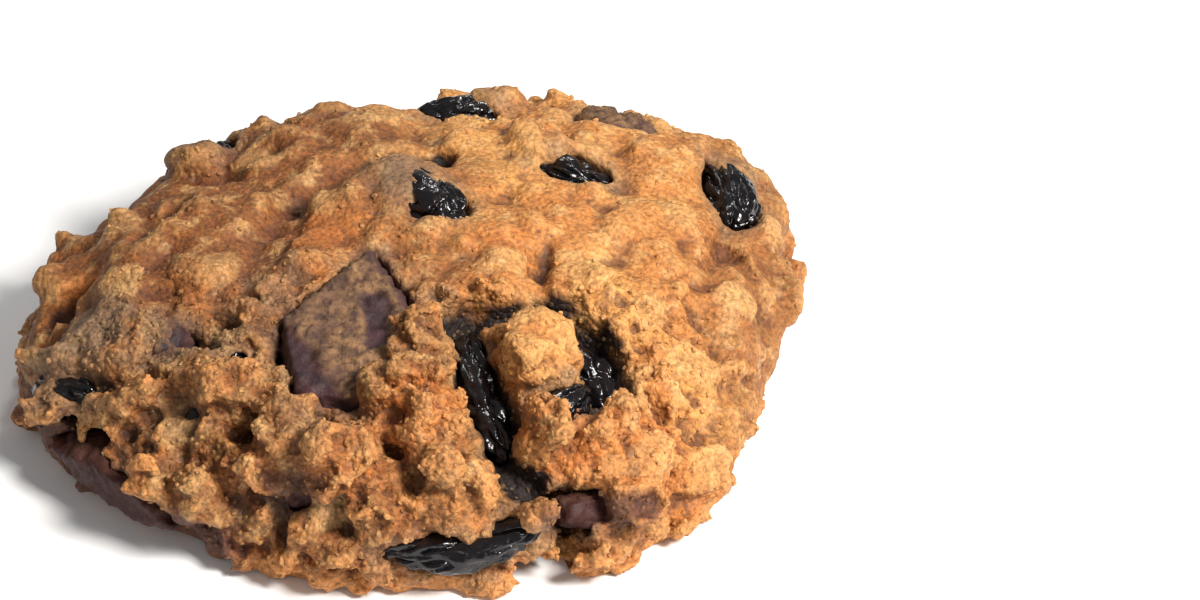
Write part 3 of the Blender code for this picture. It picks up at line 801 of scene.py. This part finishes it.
def softenCalm(piece):   # takes the remesh's steps out, most where the crust is smooth
    places = readPlaces(piece.data)
    share = 0.2 + 0.8 * (1 - ramp(craggyShare(places), 0.2, 0.7))
    share *= ramp(places[:, 2], 0.3, 1.0)
    writePlaces(piece.data, places + share[:, None] * (smoothed(piece.data, places, 3) - places))


def triangleCount(piece):
    piece.data.calc_loop_triangles()
    return len(piece.data.loop_triangles)


def thinDough(piece):   # the flat base first, which needs few faces, then the rest down to the limit
    group = piece.vertex_groups.new(name="base")
    low = np.flatnonzero(readPlaces(piece.data)[:, 2] < 0.25)
    group.add([int(index) for index in low], 1, "REPLACE")
    for groupName in ("base", ""):
        share = dough["mostTriangles"] / triangleCount(piece)
        if share < 1:
            made = piece.modifiers.new("thin", "DECIMATE")
            made.ratio = share
            made.vertex_group = groupName
            made.vertex_group_factor = 10
            settle(piece)
    piece.vertex_groups.clear()


# Where a buried topping tints the crust grey: the middle, reach and strength
smokeSpots = (
    (-0.6, 4.6, 20.0, 5.5, 0.75), (-14.0, -13.0, 18.6, 6.0, 0.5), (-8.0, -31.0, 15.6, 6.0, 0.3),
    (-31.5, -15.0, 13.8, 7.0, 0.75), (-35.0, -18.0, 11.0, 6.0, 0.6), (-23.0, -18.4, 15.8, 4.5, 0.7),
    (-25.0, 21.0, 14.5, 7.0, 0.6), (-16.0, 26.5, 14.0, 5.0, 0.7), (3.0, -16.0, 19.0, 4.5, 0.5),
)

# Where chocolate melted into the crust, with painted shade along the lower left rim and in the front hollows:
# both ends of each strip, then half its width and its strength
cocoaStrips = (
    (-39.5, -15.0, 4.0, -31.5, -28.5, 4.5, 4.6, 0.9),
    (-31.5, -28.5, 4.5, -19.0, -37.0, 2.5, 3.8, 0.9),
    (15.6, -36.6, 8.4, 22.6, -34.8, 7.6, 2.2, 0.8),
    (12.6, -36.4, 9.0, 16.6, -37.2, 6.0, 1.6, 0.7),
    (-11.4, -35.6, 10.4, -7.6, -35.8, 9.6, 2.4, 0.5),
)

# Where the crust toasted orange, in the same terms as the smoke
toastSpots = (
    (2.4, -31.2, 16.6, 5.5, 0.6),
    (13.4, -23.4, 20.8, 2.8, 0.45),
    (-5.2, -34.6, 13.6, 4.6, 0.6),
    (20.0, -31.0, 12.6, 6.5, 0.6),
    (25.6, -29.4, 10.6, 6.5, 0.55),
    (-34.0, -6.5, 13.0, 4.0, 0.5),
    (9.0, -4.4, 19.6, 4.0, 0.5),
    (-9.0, -2.6, 19.0, 5.0, 0.5),
    (4.6, -40.0, 1.6, 8.0, 0.8),
    (16.0, -34.6, 11.0, 3.5, 0.6),
)


def inSpots(places, spots, ragged, edge):   # how strongly these round patches cover each place
    strength = np.zeros(len(places))
    for *middle, reach, most in spots:
        away = np.linalg.norm(places - np.array(middle), axis=1) / reach + ragged
        strength = np.maximum(strength, most * (1 - ramp(away, edge, 1.1)))
    return strength


def paintDough(piece, seats):   # the attributes that the dough's material reads
    mesh = piece.data
    places, gaps = describeDough(piece, seats)
    normals = readNormals(mesh)
    near = smoothed(mesh, places, 5)
    far = smoothed(mesh, near, 40)
    fineHeight = ((places - near) * normals).sum(axis=1)
    height = ((near - far) * normals).sum(axis=1)
    x, y, z = places.T
    wander = noiseAt(places, 2.2)
    broad = noiseAt(places, 8.0)
    craggy = craggyShare(places)
    paint = {"peak": ramp(height + fineHeight, 0.1, 0.7)}
    # painted shade: darker where the surface lies below its smoothed neighbours
    paint["hollow"] = np.clip(ramp(-height, 0.05, 0.8) + 0.6 * ramp(-fineHeight, 0.02, 0.15), 0, 1)

    rim = ramp(np.hypot(x, y), 35, 41) * ramp(-z, -8, -1.5)
    toast = ramp(height + 0.5 * wander + 0.7 * broad, 0.1, 0.9) * craggy
    toast = np.maximum(0.8 * toast, 0.6 * rim)
    paint["toast"] = np.maximum(toast, inSpots(places, toastSpots, 0.4 * wander, 0.5))

    # painted shade on the left side and a painted shadow on the far right rim; the front edge darker brown
    # too
    shadedBrown = np.maximum(1 - ramp(x + 0.2 * y + 9 * broad, -6, 13), 0.85 * ramp(x + 3 * broad, 25, 36))
    shadedBrown = np.maximum(shadedBrown, 0.55 * ramp(-y + 3 * broad, 21, 30))
    paint["shadedBrown"] = shadedBrown * (1 - 0.1 * craggy)

    # a stain beside the chocolate, and strips that also paint shade on the lower left rim and in the front
    # hollows
    cocoa = 0.7 * (1 - ramp(gapTo(chocolateNodes, places) + 1.2 * wander, 0.1, 1.4))
    for strip in cocoaStrips:
        away = awayFrom(strip, places) / strip[6] + 0.3 * wander + 0.4 * broad
        cocoa = np.maximum(cocoa, strip[7] * (1 - ramp(away, 0.5, 1.1)))
    paint["cocoa"] = cocoa

    smoke = 0.5 * (1 - ramp(gaps + 2.0 * wander, 0.4, 3.0))
    paint["smoke"] = np.maximum(smoke, inSpots(places, smokeSpots, 0.35 * wander, 0.45))
    # painted shade down in the dark trenches, below the crust
    paint["trenchShade"] = dentDepth(places)[2]
    for name, values in paint.items():
        writeAttribute(mesh, name, values)


# Toppings

raisin = {   # in mm
    "levels": 3,
    "foldDepth": 0.6,
    "foldLength": 5.0,
    "foldWidth": 1.5,
    "crinkleDepth": 0.16,
    "crinkleSize": 0.9,
    "swelling": 0.15,
}


def axesOf(places):   # the longest, middle and shortest ways through a piece
    spread = places - places.mean(axis=0)
    return np.linalg.eigh(spread.T @ spread)[1].T[::-1]


def makeRaisin(node):
    piece = mergedNode(node, "wrinkled_" + node)
    detail = piece.modifiers.new("detail", "SUBSURF")
    detail.levels = detail.render_levels = raisin["levels"]
    settle(piece)
    places, normals = readPlaces(piece.data), readNormals(piece.data)
    middle = places.mean(axis=0)
    local = (places - middle) @ axesOf(places).T
    sizes = np.array([raisin["foldLength"], raisin["foldWidth"], raisin["foldWidth"]])
    folds = []
    for spot in local / sizes + middle:
        folds.append(abs(noise.noise(Vector(spot) + 0.4 * noise.noise_vector(Vector(spot)))))
    folds = 1 - np.clip(np.array(folds) * 3.4, 0, 1)
    crinkle = noiseAt(places, raisin["crinkleSize"])
    inward = raisin["foldDepth"] * folds - raisin["crinkleDepth"] * crinkle - raisin["swelling"]
    writePlaces(piece.data, places - normals * inward[:, None])
    writeAttribute(piece.data, "fold", 1 - folds)
    piece.data.shade_smooth()
    return piece


chocolate = {   # in mm
    "voxel": 0.28,
    "chipSize": 1.6,
    "chipDepth": 0.3,
    "grainSize": 0.6,
    "grainDepth": 0.07,
    "dustGrain": 0.3,
    "dustDepth": 0.4,
}

# Strips of the broken chocolate that stay bare, in mm: both ends, then half the width
bareStrips = (
    (-14.8, -17.6, 17.4, -6.6, -30.4, 14.4, 2.4),
    (-4.0, -5.6, 18.8, 3.6, -21.4, 18.8, 1.3),
    (-3.4, -15.6, 19.0, -2.6, -20.4, 18.6, 1.5),
    (-7.0, -29.8, 14.8, 0.4, -30.4, 15.0, 1.2),
)


def makeChocolate(node):
    piece = mergedNode(node, "broken_" + node)
    voxelRemesh(piece, chocolate["voxel"])
    settle(piece)
    places, normals = readPlaces(piece.data), readNormals(piece.data)
    local = (places - places.mean(axis=0)) @ axesOf(places).T
    across = np.hypot(*(local / np.abs(local).max(axis=0)).T[:2])
    wander = brokenNoiseAt(places, 3.4, 0.7, 4)
    dust = (1 - ramp(across + 0.5 * wander, 0.7, 1.1)) * ramp(normals[:, 2], 0.0, 0.5)
    patch = brokenNoiseAt(places, 5.0, 0.6, 3)
    dust *= 0.65 + 0.35 * ramp(patch, -0.3, 0.25)
    for strip in bareStrips:
        dust *= ramp(awayFrom(strip, places) + 0.8 * wander, 0.7 * strip[6], 1.3 * strip[6])
    chips = brokenNoiseAt(places, chocolate["chipSize"], 0.7, 3)
    grain = noiseAt(places, chocolate["grainSize"])
    out = chocolate["chipDepth"] * chips + (chocolate["grainDepth"] + chocolate["dustGrain"] * dust) * grain
    out += chocolate["dustDepth"] * dust
    writePlaces(piece.data, places + normals * out[:, None])
    writeAttribute(piece.data, "dust", dust)
    piece.data.shade_smooth()
    return piece


# Loose crumbs that lie on the crust

crumbs = {   # in mm
    "gap": 0.85,
    "shape": ((0.8, 0.6, 0.5), (1.3, 1.0, 0.9)),
    "size": (0.16, 0.42),
    "sink": 0.16,
    "ragged": (0.5, 0.5),   # depth and size
    "paler": 0.12,
    "seed": 21,
}


def looseGrainTree(material):
    bench, asked = geometryTree("looseGrainsTree", ballInputs)
    balls = scatterBalls(bench, asked, named(bench, "share"), crumbs["shape"], 1)
    finish = bench.wire("GeometryNodeSetMaterial", None, {"Geometry": balls, "Material": material})
    return closeTree(bench, finish)


def makeGrains(crust):
    piece = newPiece("looseGrains", crust.data.copy())
    places = readPlaces(piece.data)
    gaps = gapTo(raisinNodes + chocolateNodes, places)
    onTop = ramp(places[:, 2], 1.0, 2.5)
    share = onTop * ramp(gaps, 0.2, 0.8) * np.clip(craggyShare(places) * 0.8, 0.1, 1)
    writeAttribute(piece.data, "share", share)
    addNodes(piece, looseGrainTree(doughMaterial("crumbGrain", crumbs["paler"])), {
        "Gap": crumbs["gap"], "Smallest": crumbs["size"][0], "Largest": crumbs["size"][1],
        "Sink": crumbs["sink"], "Ragged": crumbs["ragged"][0], "Ragged Size": crumbs["ragged"][1],
        "Seed": crumbs["seed"]})
    settle(piece)
    places = readPlaces(piece.data)
    places[:, 2] = np.maximum(places[:, 2], 0.02)
    writePlaces(piece.data, places)
    return piece


# Camera, floor and light

view = {"elevation": 34, "lens": 100, "distance": 350, "aim": (19.15, 0.57, 8.0)}


def makeCamera():
    rise = math.radians(view["elevation"])
    back = Vector((0, -math.cos(rise), math.sin(rise)))
    camera = bpy.data.objects.new("camera", bpy.data.cameras.new("camera"))
    camera.data.lens = view["lens"]
    camera.data.clip_start = 0.01
    camera.location = (Vector(view["aim"]) + back * view["distance"]) * mm
    camera.rotation_euler = back.to_track_quat("Z", "Y").to_euler()
    bpy.context.scene.collection.objects.link(camera)
    bpy.context.scene.camera = camera


studio = {"worldLight": 0.24, "floorHalf": 3000, "floorDrop": 0.05}    # sizes in mm
lamps = {   # name: place in mm, size in mm, watts, colour
    "key": ((230, -180, 290), 110, 2.75, (1.0, 0.97, 0.93)),
    "back": ((30, 230, 250), 40, 0.22, (1.0, 0.99, 0.98)),
    "front": ((-60, -380, 240), 320, 0.2, (0.96, 0.98, 1.0)),
}


def makeLights():
    for name, (place, size, power, colour) in lamps.items():
        lamp = bpy.data.objects.new(name, bpy.data.lights.new(name, "AREA"))
        lamp.data.size = size * mm
        lamp.data.energy = power
        lamp.data.color = colour
        lamp.location = Vector(place) * mm
        lamp.rotation_euler = (Vector(place) * mm).to_track_quat("Z", "Y").to_euler()
        lamp.visible_glossy = name != "front"
        bpy.context.scene.collection.objects.link(lamp)
    world = bpy.data.worlds.new("studio")
    world.use_nodes = True
    world.node_tree.nodes["Background"].inputs["Color"].default_value = (1, 1, 1, 1)
    world.node_tree.nodes["Background"].inputs["Strength"].default_value = studio["worldLight"]
    bpy.context.scene.world = world
    bpy.context.scene.view_settings.view_transform = "Standard"


def makeFloor():
    bm = bmesh.new()
    bmesh.ops.create_grid(bm, x_segments=1, y_segments=1, size=studio["floorHalf"] * mm)
    mesh = bpy.data.meshes.new("floor")
    bm.to_mesh(mesh)
    bm.free()
    floor = newPiece("floor", mesh)
    floor.location.z = -studio["floorDrop"] * mm
    made, bench, shader = newMaterial("paleFloor")
    shader.inputs["Base Color"].default_value = linear(250, 250, 250)
    shader.inputs["Roughness"].default_value = 0.9
    mesh.materials.append(made)


def finishPiece(piece, material, slot, *nodes):   # the CAD nodes that it replaces come last
    if material:   # the loose grains have theirs from their tree
        piece.data.materials.clear()
        piece.data.materials.append(material)
    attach(piece, "root")
    if nodes:
        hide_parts(*nodes)


makeCamera()
makeLights()
makeFloor()
print("studio set")

crust = makeDough()
finishPiece(crust, doughMaterial("bakedDough"), "dough", "cookie")
print("dough done:", triangleCount(crust), "triangles")

raisinSkin = raisinMaterial()
for node in raisinNodes:
    finishPiece(makeRaisin(node), raisinSkin, "raisin", node)
print("raisins done:", len(raisinNodes))

darkChocolate = chocolateMaterial()
for node in chocolateNodes:
    finishPiece(makeChocolate(node), darkChocolate, "chocolate", node)
print("chocolate done:", len(chocolateNodes))

grains = makeGrains(crust)
finishPiece(grains, None, "dough")
print("loose grains done:", triangleCount(grains), "triangles")
